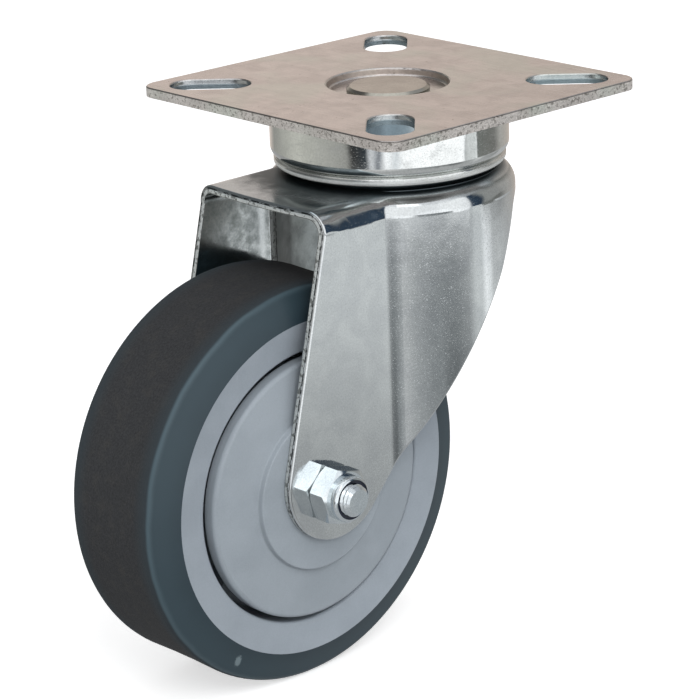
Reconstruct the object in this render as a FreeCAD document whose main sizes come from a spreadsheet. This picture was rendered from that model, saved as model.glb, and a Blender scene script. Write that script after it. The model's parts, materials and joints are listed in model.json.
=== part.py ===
"""Swivel plate castor with a 100 mm rubber-tyred wheel in a pressed steel fork.

The origin is the middle of the plate's top face, on the swivel axis. +Z is up, the wheel trails
towards -X, and the wheel turns about an axle along Y. Left is +Y, and right is -Y.
"""
import FreeCAD, Part
import math
import os
import re
import Sketcher

DIMENSIONS = {
    # wheel
    "wheel_radius": 50,
    "shoulder_radius": 48.9,
    "shoulder_half_width": 14.35,
    "tread_half_width": 13.2,
    "rim_radius": 42.1,
    "rim_half_width": 17.15,
    "rim_lock_radius": 45,
    "rim_lock_half_width": 3,
    "recess_radius": 34.4,
    "recess_half_width": 16.2,
    "web_half_thickness": 2.5,
    "hub_radius": 15.5,
    "hub_half_width": 15.5,
    "rib_half_width": 8,
    "rib_thickness": 2.4,
    "rib_count": 8,
    # axle, its nut and the two ball bearings
    "axle_radius": 3.98,
    "axle_length": 55,
    "axle_chamfer": 1,
    "across_flats": 13,
    "head_height": 5.3,
    "nut_height": 8,
    "nut_hexagon_height": 5.6,
    "nut_bore": 4,
    "nut_collar_radius": 5.7,
    "nut_mouth_radius": 4.9,
    "insert_height": 2.2,
    "bearing_bore": 4,
    "bearing_radius": 11,
    "bearing_width": 7,
    "bearing_inner_land": 6.05,
    "bearing_outer_land": 9,
    "bearing_seal_radius": 9.6,
    "bearing_pitch_radius": 7.5,
    "bearing_ball_radius": 1.98,
    "bearing_ball_count": 7,
    "bearing_ball_play": 0.05,
    "cage_half_width": 2.5,
    "cage_half_thickness": 0.5,
    "cage_play": 0.14,
    "shield_thickness": 0.5,
    "shield_inset": 0.3,
    "shield_play": 0.25,
    "sleeve_half_length": 8,
    "sleeve_radius": 6,
    # thread guards
    "guard_radius": 32.8,
    "guard_rim_height": 17.9,
    "guard_sheet": 2,
    "guard_skirt": 3.6,
    "guard_crown_height": 19.2,
    "guard_boss_radius": 19.85,
    # fork
    "trail": 44,
    "axle_drop": 89.4,
    "fork_sheet": 2,
    "leg_half_width": 22.5,
    "crown_reach": 44.5,
    "crown_bow": 1.5,
    "crown_edge_depth": 5.2,
    "crown_drop": 20.5,
    "crown_bend": 5.2,
    "nose_radius": 31,
    "crease_radius": 6,
    "leg_end_radius": 15.6,
    "axle_hole_radius": 4.1,
    "turret_radius": 25.5,
    "turret_bore": 11,
    # swivel head
    "plate_length": 85,
    "plate_width": 90,
    "plate_thickness": 2.5,
    "plate_corner": 5,
    "slot_spacing_along": 60,
    "slot_spacing_across": 64,
    "slot_length": 20,
    "slot_width": 11,
    "dimple_radius": 14.8,
    "dimple_depth": 2,
    "dimple_outer_radius": 17.3,
    "cup_radius": 29.6,
    "cup_depth": 19.2,
    "cup_sheet": 2,
    "cup_bore": 17.6,
    "bead_radius": 28.8,
    "bead_height": 2.3,
    "pin_head_radius": 10.3,
    "pin_head_height": 1.25,
    "pin_radius": 8,
    "pin_foot_radius": 6,
    "rivet_radius": 9,
    "rivet_height": 3,
    "upper_pitch_radius": 21.5,
    "upper_ball_radius": 3,
    "upper_ball_count": 20,
    "lower_pitch_radius": 15.5,
    "lower_ball_radius": 2.5,
    "lower_ball_count": 17,
    "groove_depth": 0.9,
    "swivel_ball_play": 0.05,
    "lower_race_radius": 19,
    "lower_race_thickness": 3,
    "edge_round": 0.4,
    "rolled_edge": 0.5,
}

# Heights on the swivel axis, from the plate down.
CUP_CEILING = "(-plate_thickness - cup_sheet)"
UPPER_BALL_HEIGHT = f"({CUP_CEILING} - upper_ball_radius + groove_depth)"
TURRET_TOP = f"({UPPER_BALL_HEIGHT} - upper_ball_radius + groove_depth)"
TURRET_CEILING = f"({TURRET_TOP} - fork_sheet)"
LOWER_BALL_HEIGHT = f"({TURRET_CEILING} - lower_ball_radius + groove_depth)"
LOWER_RACE_TOP = f"({LOWER_BALL_HEIGHT} - lower_ball_radius + groove_depth)"
LOWER_RACE_FOOT = f"({LOWER_RACE_TOP} - lower_race_thickness)"
# The fork's sheet before its legs are trimmed reaches back to here.
BLOCK_BACK = "(-trail - leg_end_radius - 4)"
BEARING_MIDDLE = "(sleeve_half_length + bearing_width / 2)"

doc = FreeCAD.newDocument("castor")
sheet = doc.addObject("Spreadsheet::Sheet", "dims")
for row, (alias, number) in enumerate(DIMENSIONS.items(), start=1):
    sheet.set(f"A{row}", alias)
    sheet.set(f"B{row}", str(number))
    sheet.setAlias(f"B{row}", alias)
doc.recompute()
nodes = []


def expand(formula):
    """A formula in the sheet's aliases, written as FreeCAD wants it."""
    return re.sub(r"[a-z_]+", lambda word: "dims." + word[0] if word[0] in DIMENSIONS else word[0], formula)


def value(formula):
    return float(sheet.evalExpression(expand(formula)))


def bind(item, prop, formula):
    item.setExpression(prop, expand(formula))


def new_body(label, several_solids=False):
    body = doc.addObject("PartDesign::Body", label)
    body.Label = label
    body.AllowCompound = several_solids
    nodes.append(body)
    return body


def origin_feature(body, role):
    return next(item for item in body.Origin.OriginFeatures if item.Role == role)


def place(body, x="0", y="0", z="0", turn=0):
    """Set a body down at x, y, z, turned about X by turn degrees."""
    body.Placement = FreeCAD.Placement(FreeCAD.Vector(), FreeCAD.Rotation(FreeCAD.Vector(1, 0, 0), turn))
    bind(body, "Placement.Base.x", x)
    bind(body, "Placement.Base.y", y)
    bind(body, "Placement.Base.z", z)


def place_on_axle(body, side):
    """Turn a body's +Z outward along the axle: side is +1 for left and -1 for right."""
    place(body, "-trail", "0", "-axle_drop", turn=-90 * side)


def new_sketch(body, name, role="XZ_Plane", height=None):
    sketch = body.newObject("Sketcher::SketchObject", name)
    sketch.AttachmentSupport = [(origin_feature(body, role), "")]
    sketch.MapMode = "FlatFace"
    if height is not None:
        bind(sketch, "AttachmentOffset.Base.z", height)
    return sketch


def pin_point(sketch, shape, end, x, y):
    """Hold one end of a shape at the formulas x and y."""
    for kind, formula, axis in (("DistanceX", x, -2), ("DistanceY", y, -1)):
        number = value(formula)
        if abs(number) < 1e-9:
            sketch.addConstraint(Sketcher.Constraint("PointOnObject", shape, end, axis))
            continue
        index = sketch.addConstraint(Sketcher.Constraint(kind, -1, 1, shape, end, number))
        bind(sketch, f"Constraints[{index}]", formula)


def circle(sketch, x, y, radius):
    middle = FreeCAD.Vector(value(x), value(y), 0)
    shape = sketch.addGeometry(Part.Circle(middle, FreeCAD.Vector(0, 0, 1), value(radius)))
    pin_point(sketch, shape, 3, x, y)
    index = sketch.addConstraint(Sketcher.Constraint("Radius", shape, value(radius)))
    bind(sketch, f"Constraints[{index}]", radius)


def rounded_corner(sketch, before, at, after, radius):
    """The arc that rounds a corner, and which of its ends is met first."""
    back = (before - at).normalize()
    on = (after - at).normalize()
    half = math.acos(max(-1.0, min(1.0, back.dot(on)))) / 2
    middle = at + (back + on).normalize() * (radius / math.sin(half))
    start = at + back * (radius / math.tan(half)) - middle
    stop = at + on * (radius / math.tan(half)) - middle
    anticlockwise = start.cross(stop).z > 0
    first, last = (start, stop) if anticlockwise else (stop, start)
    round_shape = Part.Circle(middle, FreeCAD.Vector(0, 0, 1), radius)
    arc = Part.ArcOfCircle(round_shape, math.atan2(first.y, first.x), math.atan2(last.y, last.x))
    return sketch.addGeometry(arc), anticlockwise, middle + start, middle + stop


def outline(sketch, corners):
    """A closed outline. A corner is (x, y) or, where it is rounded, (x, y, radius), all formulas."""
    points = [FreeCAD.Vector(value(corner[0]), value(corner[1]), 0) for corner in corners]
    count = len(points)
    arcs = {}
    for index, corner in enumerate(corners):
        if len(corner) == 3:
            before = points[index - 1] - FreeCAD.Vector()
            after = points[(index + 1) % count] - FreeCAD.Vector()
            arcs[index] = rounded_corner(sketch, before, points[index], after, value(corner[2]))
    lines = []
    for index in range(count):
        following = (index + 1) % count
        start = arcs[index][3] if index in arcs else points[index]
        stop = arcs[following][2] if following in arcs else points[following]
        lines.append(sketch.addGeometry(Part.LineSegment(start, stop)))
    for index, corner in enumerate(corners):
        arriving, leaving = lines[index - 1], lines[index]
        if index not in arcs:
            sketch.addConstraint(Sketcher.Constraint("Coincident", arriving, 2, leaving, 1))
            pin_point(sketch, leaving, 1, corner[0], corner[1])
            continue
        arc, anticlockwise = arcs[index][:2]
        ends = (1, 2) if anticlockwise else (2, 1)
        tip = sketch.addGeometry(Part.Point(points[index]), True)
        pin_point(sketch, tip, 1, corner[0], corner[1])
        sketch.addConstraint(Sketcher.Constraint("PointOnObject", tip, 1, arriving))
        sketch.addConstraint(Sketcher.Constraint("PointOnObject", tip, 1, leaving))
        sketch.addConstraint(Sketcher.Constraint("Tangent", arriving, 2, arc, ends[0]))
        sketch.addConstraint(Sketcher.Constraint("Tangent", arc, ends[1], leaving, 1))
        radius = sketch.addConstraint(Sketcher.Constraint("Radius", arc, value(corner[2])))
        bind(sketch, f"Constraints[{radius}]", corner[2])


def rectangle(sketch, x_low, x_high, y_low, y_high, radius=None):
    tail = () if radius is None else (radius,)
    outline(sketch, [(x, y) + tail for x, y in
                     ((x_low, y_low), (x_high, y_low), (x_high, y_high), (x_low, y_high))])


def turned(body, name, corners, kind="PartDesign::Revolution"):
    """Turn an outline of (radius, height) about the body's Z axis, to add it or to cut it away."""
    sketch = new_sketch(body, name + "_profile")
    outline(sketch, corners)
    return turn_sketch(body, name, sketch, kind)


def turn_sketch(body, name, sketch, kind):
    feature = body.newObject(kind, name)
    feature.Profile = sketch
    feature.ReferenceAxis = (sketch, ["V_Axis"])
    feature.Angle = 360
    doc.recompute()
    return feature


def ball_track(body, name, pitch_radius, height, ball_radius, play):
    """Cut the round track that a row of balls runs in."""
    before = body.Shape.Volume
    sketch = new_sketch(body, name + "_profile")
    circle(sketch, pitch_radius, height, f"{ball_radius} + {play}")
    turn_sketch(body, name, sketch, "PartDesign::Groove")
    check_cut(body, before, name)


def pad(body, name, sketch, length, symmetric=False, downward=False):
    feature = body.newObject("PartDesign::Pad", name)
    feature.Profile = sketch
    bind(feature, "Length", length)
    feature.Reversed = downward
    if symmetric:
        feature.SideType = "Symmetric"
    doc.recompute()
    return feature


def through_pocket(body, name, sketch):
    """Cut a sketch through the whole body, both ways."""
    before = body.Shape.Volume
    feature = body.newObject("PartDesign::Pocket", name)
    feature.Profile = sketch
    feature.SideType = "Symmetric"
    feature.Type = "ThroughAll"
    doc.recompute()
    check_cut(body, before, name)
    return feature


def check_cut(body, before, name):
    if body.Shape.Volume > before - 1e-3:
        raise RuntimeError(f"{body.Label}: {name} cut nothing away")


def edges_where(shape, test):
    """The names of the edges whose middle passes a test."""
    names = []
    for number, edge in enumerate(shape.Edges, start=1):
        middle = edge.valueAt((edge.FirstParameter + edge.LastParameter) / 2)
        if test(edge, middle):
            names.append(f"Edge{number}")
    return names


def fillet(body, name, base, test, radius):
    feature = body.newObject("PartDesign::Fillet", name)
    feature.Base = (base, edges_where(base.Shape, test))
    bind(feature, "Radius", radius)
    doc.recompute()
    return feature


def polar(body, name, feature, count):
    pattern = body.newObject("PartDesign::PolarPattern", name)
    pattern.Originals = [feature]
    pattern.Axis = (origin_feature(body, "Z_Axis"), [""])
    pattern.Angle = 360
    bind(pattern, "Occurrences", count)
    body.Tip = pattern
    doc.recompute()
    return pattern


def ball_row(label, pitch_radius, ball_radius, count):
    """A ring of separate balls in the body's XY plane."""
    body = new_body(label, several_solids=True)
    ball = body.newObject("PartDesign::AdditiveSphere", "ball")
    bind(ball, "Radius", ball_radius)
    bind(ball, "Placement.Base.x", pitch_radius)
    doc.recompute()
    polar(body, "row", ball, count)
    return body


# Swivel head --------------------------------------------------------------------------------

def top_plate():
    body = new_body("top_plate")
    edge = new_sketch(body, "plate_outline", "XY_Plane")
    rectangle(edge, "-plate_length / 2", "plate_length / 2", "-plate_width / 2", "plate_width / 2",
              "plate_corner")
    pad(body, "sheet", edge, "plate_thickness", downward=True)
    mouth = new_sketch(body, "dimple_mouth", "XY_Plane")
    circle(mouth, "0", "0", "dimple_outer_radius")
    through_pocket(body, "mouth", mouth)
    turned(body, "dimple", [
        ("pin_radius", "-dimple_depth"),
        ("dimple_radius", "-dimple_depth", "0.8"),
        ("dimple_radius + 0.4", "0", "0.6"),
        ("dimple_outer_radius + 2", "0"),
        ("dimple_outer_radius + 2", "-plate_thickness"),
        ("dimple_outer_radius", "-plate_thickness"),
        ("dimple_outer_radius", "-dimple_depth - plate_thickness", "1.2"),
        ("pin_radius", "-dimple_depth - plate_thickness"),
    ])
    for along in (1, -1):
        for across in (1, -1):
            name = f"slot_{'front' if along > 0 else 'back'}_{'left' if across > 0 else 'right'}"
            sketch = new_sketch(body, name + "_outline", "XY_Plane")
            diagonal_slot(sketch, along, across)
            last = through_pocket(body, name, sketch)
    fillet(body, "rolled_edges", last, on_sheared_top, "edge_round")


def on_sheared_top(edge, middle):
    """The top edges of the plate and of its slots, which shearing rolls over."""
    clear_of_dimple = math.hypot(middle.x, middle.y) > value("dimple_outer_radius") + 3
    return abs(middle.z) < 1e-6 and clear_of_dimple


def diagonal_slot(sketch, along, across):
    """A slot that points at the swivel axis: two round ends joined by two straight sides."""
    reach = "(slot_length - slot_width) / 2 * sqrt(0.5)"
    swell = "slot_width / 2 * sqrt(0.5)"
    ends = {}
    for way in (1, -1):
        x = f"{along} * (slot_spacing_along / 2 + {way} * {reach})"
        y = f"{across} * (slot_spacing_across / 2 + {way} * {reach})"
        ends[way] = (x, y)
    middle_angle = math.atan2(across, along)
    arcs = {}
    for way, (x, y) in ends.items():
        centre = FreeCAD.Vector(value(x), value(y), 0)
        facing = middle_angle if way > 0 else middle_angle + math.pi
        whole = Part.Circle(centre, FreeCAD.Vector(0, 0, 1), value("slot_width / 2"))
        arcs[way] = sketch.addGeometry(Part.ArcOfCircle(whole, facing - math.pi / 2, facing + math.pi / 2))
        pin_point(sketch, arcs[way], 3, x, y)
        radius = sketch.addConstraint(Sketcher.Constraint("Radius", arcs[way], value("slot_width / 2")))
        bind(sketch, f"Constraints[{radius}]", "slot_width / 2")
    for way in (1, -1):
        start = sketch.Geometry[arcs[way]].EndPoint
        stop = sketch.Geometry[arcs[-way]].StartPoint
        side = sketch.addGeometry(Part.LineSegment(start, stop))
        sketch.addConstraint(Sketcher.Constraint("Tangent", arcs[way], 2, side, 1))
        sketch.addConstraint(Sketcher.Constraint("Tangent", side, 2, arcs[-way], 1))


def raceway_cup():
    """Drawn cup under the plate: a flat ceiling, a wall that turns in, and a beaded lip."""
    body = new_body("raceway_cup")
    turned(body, "cup", [
        ("cup_bore", "-plate_thickness"),
        ("cup_radius", "-plate_thickness", "0.8"),
        ("cup_radius", "-cup_depth + bead_height + 0.4", "2.6"),
        ("bead_radius - 0.7", "-cup_depth + bead_height"),
        ("bead_radius", "-cup_depth + bead_height - 0.3", "0.5"),
        ("bead_radius", "-cup_depth", "0.9"),
        ("bead_radius - cup_sheet", "-cup_depth", "0.6"),
        ("bead_radius - cup_sheet", "-cup_depth + bead_height + cup_sheet / 2"),
        ("cup_radius - cup_sheet", "-cup_depth + bead_height + cup_sheet"),
        ("cup_radius - cup_sheet", f"{CUP_CEILING}", "1.2"),
        ("cup_bore", CUP_CEILING),
    ])
    ball_track(body, "upper_track", "upper_pitch_radius", UPPER_BALL_HEIGHT,
               "upper_ball_radius", "swivel_ball_play")


def kingpin():
    """Pin with a broad head above and a riveted foot, with a shoulder that carries the lower race."""
    body = new_body("kingpin")
    head_top = "(-dimple_depth + pin_head_height)"
    turned(body, "pin", [
        ("0", head_top),
        ("pin_head_radius - 0.8", head_top),
        ("pin_head_radius", f"{head_top} - 0.6"),
        ("pin_head_radius", "-dimple_depth"),
        ("pin_radius", "-dimple_depth"),
        ("pin_radius", LOWER_RACE_TOP),
        ("pin_foot_radius", LOWER_RACE_TOP),
        ("pin_foot_radius", LOWER_RACE_FOOT),
        ("rivet_radius", LOWER_RACE_FOOT),
        ("rivet_radius", f"{LOWER_RACE_FOOT} - rivet_height", "1.8"),
        ("0", f"{LOWER_RACE_FOOT} - rivet_height"),
    ])


def lower_race():
    body = new_body("lower_race")
    turned(body, "ring", [
        ("pin_foot_radius", LOWER_RACE_TOP),
        ("lower_race_radius", LOWER_RACE_TOP, "0.6"),
        ("lower_race_radius", LOWER_RACE_FOOT, "1"),
        ("pin_foot_radius", LOWER_RACE_FOOT),
    ])
    ball_track(body, "track", "lower_pitch_radius", LOWER_BALL_HEIGHT,
               "lower_ball_radius", "swivel_ball_play")


def swivel_balls():
    upper = ball_row("upper_balls", "upper_pitch_radius", "upper_ball_radius", "upper_ball_count")
    place(upper, z=UPPER_BALL_HEIGHT)
    lower = ball_row("lower_balls", "lower_pitch_radius", "lower_ball_radius", "lower_ball_count")
    place(lower, z=LOWER_BALL_HEIGHT)


# Fork ---------------------------------------------------------------------------------------

def fork():
    """One pressed sheet: a crown with a raised turret for the balls, and a leg on each side."""
    body = new_body("fork")
    length = "axle_drop + leg_end_radius + 2 - crown_drop"
    band = new_sketch(body, "legs_plan", "XY_Plane", "-crown_drop")
    rectangle(band, BLOCK_BACK, "0", "-leg_half_width", "leg_half_width")
    pad(body, "legs_block", band, length, downward=True)
    nose = new_sketch(body, "nose_plan", "XY_Plane", "-crown_drop")
    circle(nose, "0", "0", "nose_radius")
    block = pad(body, "nose_block", nose, length, downward=True)
    creased = fillet(body, "creases", block, on_crease, "crease_radius")
    bent = fillet(body, "crown_bends", creased, on_crown_edge, "crown_bend")
    press_sheet(body, bent)
    add_turret(body)
    trim_legs(body)
    drill_axle_holes(body)
    roll_edges(body, bent)


def roll_edges(body, skin):
    """Round the outer edge of every sheared side, where the press rolls the skin over."""
    shell = skin.Shape.Shells[0]
    seams = Part.makeCompound(skin.Shape.Edges)
    touching = 1e-3

    def on_sheared_rim(edge, middle):
        reach = edge.LastParameter - edge.FirstParameter
        spots = [edge.valueAt(edge.FirstParameter + share * reach) for share in (0.25, 0.5, 0.75)]
        on_skin = all(shell.distToShape(Part.Vertex(spot))[0] < touching for spot in spots)
        off_seams = seams.distToShape(Part.Vertex(middle))[0] > 10 * touching
        outside_turret = math.hypot(middle.x, middle.y) > value("turret_radius + 3")
        from_axle = math.hypot(middle.x + value("trail"), middle.z + value("axle_drop"))
        outside_hole = from_axle > value("axle_hole_radius + 1")
        return on_skin and off_seams and outside_turret and outside_hole

    fillet(body, "rolled_rim", body.Tip, on_sheared_rim, "rolled_edge")


def on_crease(edge, middle):
    """The upright edges where the flat legs meet the round nose."""
    upright = abs(edge.BoundBox.ZLength - edge.Length) < 1e-6
    return upright and value(BLOCK_BACK) + 1 < middle.x < -1


def on_crown_edge(edge, middle):
    """The crown's edges that bend down into the legs and the nose."""
    at_top = abs(middle.z + value("crown_drop")) < 1e-6
    return at_top and middle.x > value(BLOCK_BACK) + 1e-3


def press_sheet(body, solid):
    """Hollow the block to the sheet's thickness, open below and at the back."""
    low = solid.Shape.BoundBox.ZMin
    back = value(BLOCK_BACK)
    faces = []
    for number, face in enumerate(solid.Shape.Faces, start=1):
        box = face.BoundBox
        if box.ZMax < low + 1e-3 or box.XMax < back + 1e-3:
            faces.append(f"Face{number}")
    before = body.Shape.Volume
    feature = body.newObject("PartDesign::Thickness", "sheet")
    feature.Base = (solid, faces)
    bind(feature, "Value", "fork_sheet")
    feature.Reversed = True
    doc.recompute()
    check_cut(body, before, "sheet")


def add_turret(body):
    """The drawn turret in the crown, with a ball track on each side of its top."""
    hole = new_sketch(body, "turret_hole", "XY_Plane")
    circle(hole, "0", "0", "turret_radius - fork_sheet")
    through_pocket(body, "turret_mouth", hole)
    crown_low = "-crown_drop - fork_sheet"
    turned(body, "turret", [
        ("turret_bore", TURRET_TOP),
        ("turret_radius", TURRET_TOP, "1.2"),
        ("turret_radius", "-crown_drop", "1"),
        ("turret_radius + 1.6", "-crown_drop"),
        ("turret_radius + 1.6", crown_low),
        ("turret_radius - fork_sheet", crown_low, "1"),
        ("turret_radius - fork_sheet", TURRET_CEILING, "1"),
        ("turret_bore", TURRET_CEILING),
    ])
    ball_track(body, "upper_track", "upper_pitch_radius", UPPER_BALL_HEIGHT,
               "upper_ball_radius", "swivel_ball_play")
    ball_track(body, "lower_track", "lower_pitch_radius", LOWER_BALL_HEIGHT,
               "lower_ball_radius", "swivel_ball_play")


def trim_legs(body):
    """Cut the legs to their side outline: all that lies outside it goes."""
    sketch = new_sketch(body, "side_outline")
    margin = "20"
    rectangle(sketch, f"-crown_reach - {margin} - leg_end_radius", f"nose_radius + {margin}",
              f"-axle_drop - leg_end_radius - {margin}", margin)
    outline(sketch, [
        ("-crown_reach", "10"),
        ("-crown_reach", "-crown_drop - crown_edge_depth"),
        ("-crown_reach + crown_bow", "-crown_drop - crown_edge_depth"),
        ("-trail - 26.3", "-axle_drop - 52", "leg_end_radius"),
        ("-trail + 21.9", "-axle_drop + 0.8", "45"),
        ("9.2", "-crown_drop - 23.8", "30"),
        ("17.8", "-crown_drop - 7.6", "6"),
        ("nose_radius + 5", "-crown_drop - 6"),
        ("nose_radius + 5", "10"),
    ])
    through_pocket(body, "side_trim", sketch)
    bow_crown(body)


def bow_crown(body):
    """Cut the crown's back edge to a shallow arc that bows out in the middle."""
    before = body.Shape.Volume
    sketch = new_sketch(body, "bow_outline", "XY_Plane", "-crown_drop + 1")
    half = "leg_half_width"
    bow_radius = f"({half} ^ 2 + crown_bow ^ 2) / (2 * crown_bow)"
    radius = value(bow_radius)
    middle = FreeCAD.Vector(radius - value("crown_reach"), 0, 0)
    spread = math.asin(value(half) / radius)
    whole = Part.Circle(middle, FreeCAD.Vector(0, 0, 1), radius)
    arc = sketch.addGeometry(Part.ArcOfCircle(whole, math.pi - spread, math.pi + spread))
    pin_point(sketch, arc, 1, "-crown_reach + crown_bow", half)
    pin_point(sketch, arc, 2, "-crown_reach + crown_bow", f"-{half}")
    index = sketch.addConstraint(Sketcher.Constraint("Radius", arc, radius))
    bind(sketch, f"Constraints[{index}]", bow_radius)
    wide = f"({half} + 1)"
    corners = [("-crown_reach + crown_bow", f"-{half}"), ("-crown_reach + crown_bow", f"-{wide}"),
               ("-crown_reach - 2", f"-{wide}"), ("-crown_reach - 2", wide),
               ("-crown_reach + crown_bow", wide), ("-crown_reach + crown_bow", half)]
    for start, stop in zip(corners, corners[1:]):
        ends = [FreeCAD.Vector(value(x), value(y), 0) for x, y in (start, stop)]
        line = sketch.addGeometry(Part.LineSegment(*ends))
        pin_point(sketch, line, 1, *start)
        pin_point(sketch, line, 2, *stop)
    feature = body.newObject("PartDesign::Pocket", "crown_bow_cut")
    feature.Profile = sketch
    bind(feature, "Length", "crown_edge_depth + 1")
    doc.recompute()
    check_cut(body, before, "crown_bow_cut")


def drill_axle_holes(body):
    sketch = new_sketch(body, "axle_hole")
    circle(sketch, "-trail", "-axle_drop", "axle_hole_radius")
    through_pocket(body, "axle_holes", sketch)


# Axle ---------------------------------------------------------------------------------------

def hexagon(sketch, turn):
    corner = "across_flats / 2 / cos(30)"
    angles = range(turn, turn + 360, 60)
    outline(sketch, [(f"{corner} * cos({angle})", f"{corner} * sin({angle})") for angle in angles])


def hexagon_chamfer(body, name, height, direction):
    """Turn away the hexagon's corners at one end, at 30 degrees."""
    far = "(across_flats / 2 / cos(30) + 1)"
    near = "(across_flats / 2 * 0.97)"
    before = body.Shape.Volume
    turned(body, name, [
        (near, height),
        (far, height),
        (far, f"{height} - {direction} * ({far} - {near}) * tan(30)"),
    ], "PartDesign::Groove")
    check_cut(body, before, name)


def axle_bolt():
    """Hexagon bolt: its head is outside the left leg, its chamfered end beyond the nut on the right."""
    body = new_body("axle_bolt")
    turned(body, "shank", [
        ("0", "leg_half_width + 1"),
        ("axle_radius", "leg_half_width + 1"),
        ("axle_radius", "leg_half_width - axle_length + axle_chamfer"),
        ("axle_radius - axle_chamfer", "leg_half_width - axle_length"),
        ("0", "leg_half_width - axle_length"),
    ])
    sketch = new_sketch(body, "head_hexagon", "XY_Plane", "leg_half_width")
    hexagon(sketch, 20)
    pad(body, "head", sketch, "head_height")
    hexagon_chamfer(body, "head_chamfer", "(leg_half_width + head_height)", 1)
    place_on_axle(body, 1)


def lock_nut():
    """Lock nut on the right leg: a hexagon, and a collar rolled in over its insert."""
    body = new_body("lock_nut")
    sketch = new_sketch(body, "nut_hexagon", "XY_Plane", "leg_half_width")
    hexagon(sketch, 45)
    pad(body, "hexagon", sketch, "nut_hexagon_height")
    hexagon_chamfer(body, "outer_chamfer", "(leg_half_width + nut_hexagon_height)", 1)
    hexagon_chamfer(body, "inner_chamfer", "leg_half_width", -1)
    top = "(leg_half_width + nut_height)"
    turned(body, "collar", [
        ("0", "leg_half_width + 2"),
        ("nut_collar_radius", "leg_half_width + 2"),
        ("nut_collar_radius", top, "1.1"),
        ("0", top),
    ])
    turned(body, "bore", [
        ("0", "leg_half_width - 1"),
        ("nut_bore", "leg_half_width - 1"),
        ("nut_bore", f"{top} - insert_height - 0.5"),
        ("nut_mouth_radius", f"{top} - insert_height - 0.5"),
        ("nut_mouth_radius", f"{top} + 1"),
        ("0", f"{top} + 1"),
    ], "PartDesign::Groove")
    place_on_axle(body, -1)


def nut_insert():
    body = new_body("nut_insert")
    top = "(leg_half_width + nut_height - 0.5)"
    turned(body, "ring", [
        ("nut_bore", f"{top} - insert_height"),
        ("nut_mouth_radius", f"{top} - insert_height"),
        ("nut_mouth_radius", top),
        ("nut_bore", top),
    ])
    place_on_axle(body, -1)


def spacer_sleeve():
    body = new_body("spacer_sleeve")
    turned(body, "tube", [
        ("bearing_bore", "-sleeve_half_length"),
        ("sleeve_radius", "-sleeve_half_length"),
        ("sleeve_radius", "sleeve_half_length"),
        ("bearing_bore", "sleeve_half_length"),
    ])
    place_on_axle(body, 1)


def thread_guard(name, side):
    """Round cover beside the hub, held between the leg and the bearing's inner ring."""
    body = new_body(f"thread_guard_{name}")
    inside_leg = "(leg_half_width - fork_sheet)"
    turned(body, "cover", [
        ("bearing_bore + 0.1", "sleeve_half_length + bearing_width"),
        ("sleeve_radius", "sleeve_half_length + bearing_width"),
        ("sleeve_radius", f"{inside_leg} - guard_sheet"),
        ("guard_boss_radius - 1", f"{inside_leg} - guard_sheet"),
        ("guard_boss_radius", "guard_crown_height - guard_sheet"),
        ("guard_radius - guard_sheet", "guard_rim_height - guard_sheet"),
        ("guard_radius - guard_sheet", "guard_rim_height - guard_skirt"),
        ("guard_radius", "guard_rim_height - guard_skirt", "0.4"),
        ("guard_radius", "guard_rim_height", "1.1"),
        ("guard_boss_radius + 0.4", "guard_crown_height", "0.4"),
        ("guard_boss_radius", inside_leg, "0.4"),
        ("bearing_bore + 0.1", inside_leg),
    ])
    place_on_axle(body, side)


# Wheel --------------------------------------------------------------------------------------

def wheel_rim():
    """Moulded rim: a hub with two bearing seats, a web with ribs, and a rim with a locking ridge."""
    body = new_body("wheel_rim")
    seat = "sleeve_half_length"
    right_half = [
        ("bearing_outer_land", f"-({seat})"),
        ("bearing_radius", f"-({seat})"),
        ("bearing_radius", "-hub_half_width"),
        ("hub_radius", "-hub_half_width", "0.6"),
        ("hub_radius + 0.6", "-web_half_thickness", "1.5"),
        ("recess_radius - 0.8", "-web_half_thickness", "2"),
        ("recess_radius", "-recess_half_width", "0.8"),
        ("rim_radius", "-rim_half_width"),
        ("rim_radius", "-rim_lock_half_width - 1"),
        ("rim_lock_radius", "-rim_lock_half_width"),
    ]
    left_half = [(corner[0], mirrored(corner[1])) + corner[2:] for corner in reversed(right_half)]
    turned(body, "rim", right_half + left_half)
    rib = new_sketch(body, "rib_outline", "XY_Plane")
    rectangle(rib, "hub_radius - 1", "recess_radius + 1", "-rib_thickness / 2", "rib_thickness / 2")
    polar(body, "ribs", pad(body, "rib", rib, "2 * rib_half_width", symmetric=True), "rib_count")
    place_on_axle(body, 1)


def mirrored(formula):
    return f"-({formula})"


def tyre():
    """Rubber tyre moulded over the rim: a barely crowned tread and side walls that slope to the rim."""
    body = new_body("tyre")
    right_half = [
        ("rim_lock_radius", "-rim_lock_half_width"),
        ("rim_radius", "-rim_lock_half_width - 1"),
        ("rim_radius", "-rim_half_width"),
        ("shoulder_radius", "-shoulder_half_width", "2"),
        ("wheel_radius", "-tread_half_width", "2.5"),
        ("wheel_radius - 0.2", "-tread_half_width / 3"),
    ]
    left_half = [(corner[0], mirrored(corner[1])) + corner[2:] for corner in reversed(right_half)]
    turned(body, "tread", right_half + left_half)
    place_on_axle(body, 1)


# Ball bearings ------------------------------------------------------------------------------

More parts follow.
